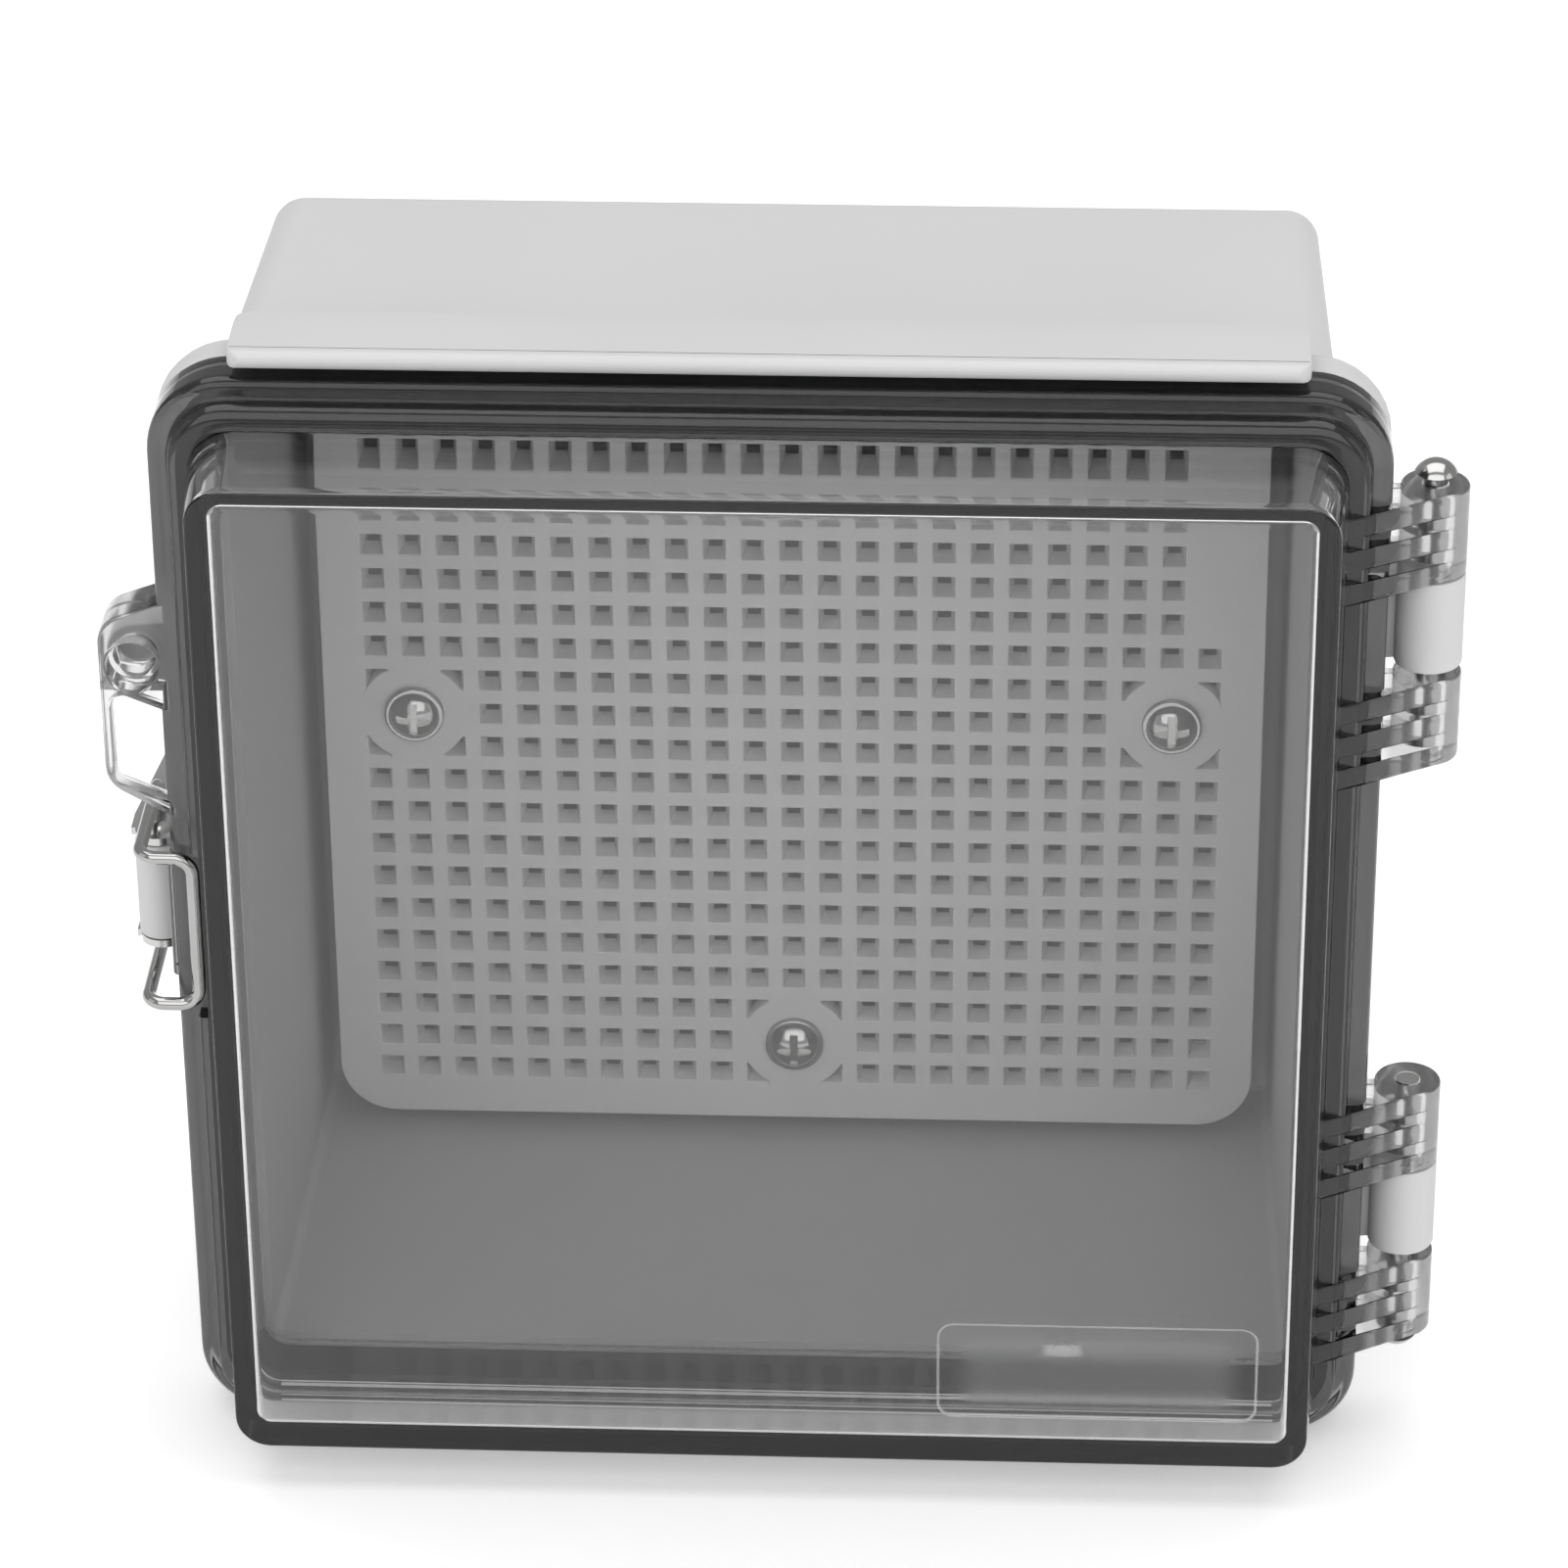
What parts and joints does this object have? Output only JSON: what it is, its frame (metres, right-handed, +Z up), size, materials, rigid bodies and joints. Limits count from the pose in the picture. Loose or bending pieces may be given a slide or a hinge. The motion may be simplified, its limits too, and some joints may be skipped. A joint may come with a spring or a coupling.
{
  "type": "hinged junction box",
  "caption": "Square wall box with a smoke-clear cover on pin hinges, a wire bail latch, a padlock eye, a rain visor and a perforated mounting plate inside.",
  "frame": {"origin": "centre of the body's back face, on the wall", "axes": "+X to the right seen from the front, +Y into the wall, +Z up; the cover faces -Y"},
  "size_m": [0.1671, 0.09, 0.1537],
  "materials": {
    "body_plastic": "light grey moulded plastic with a fine satin grain",
    "cover_plastic": "polished smoke-grey clear plastic",
    "seal_rubber": "soft black seal",
    "plate_plastic": "light grey moulded plastic, matte",
    "stainless": "bright stainless steel, drawn and pressed"
  },
  "bodies": {
    "box": {"body": "body_plastic", "mounting_plate": "plate_plastic", "plate_screw_1": "stainless", "plate_screw_2": "stainless", "plate_screw_3": "stainless", "plate_screw_4": "stainless"},
    "cover": {"cover": "cover_plastic", "gasket": "seal_rubber", "hinge_pin_upper": "stainless", "hinge_pin_lower": "stainless"},
    "latch_lever": {"latch_lever": "stainless", "latch_pin": "stainless"},
    "latch_bail": {"latch_bail": "stainless"}
  },
  "joints": [
    {"name": "cover_hinge", "type": "hinge", "parent": "box", "child": "cover", "pos_m": [0.0804, -0.0662, 0], "axis": [0, 0, 1], "range_deg": [0, 180]},
    {"name": "lever_hinge", "type": "hinge", "parent": "box", "child": "latch_lever", "pos_m": [-0.0782, -0.062, -0.0012], "axis": [0, 0, 1], "range_deg": [0, 140]},
    {"name": "bail_hinge", "type": "hinge", "parent": "latch_lever", "child": "latch_bail", "pos_m": [-0.079, -0.054, -0.0012], "axis": [0, 0, 1], "range_deg": [-161, 0]}
  ],
  "couplings": [
    {"joint": "bail_hinge", "follows": "lever_hinge", "ratio": -1.15}
  ]
}
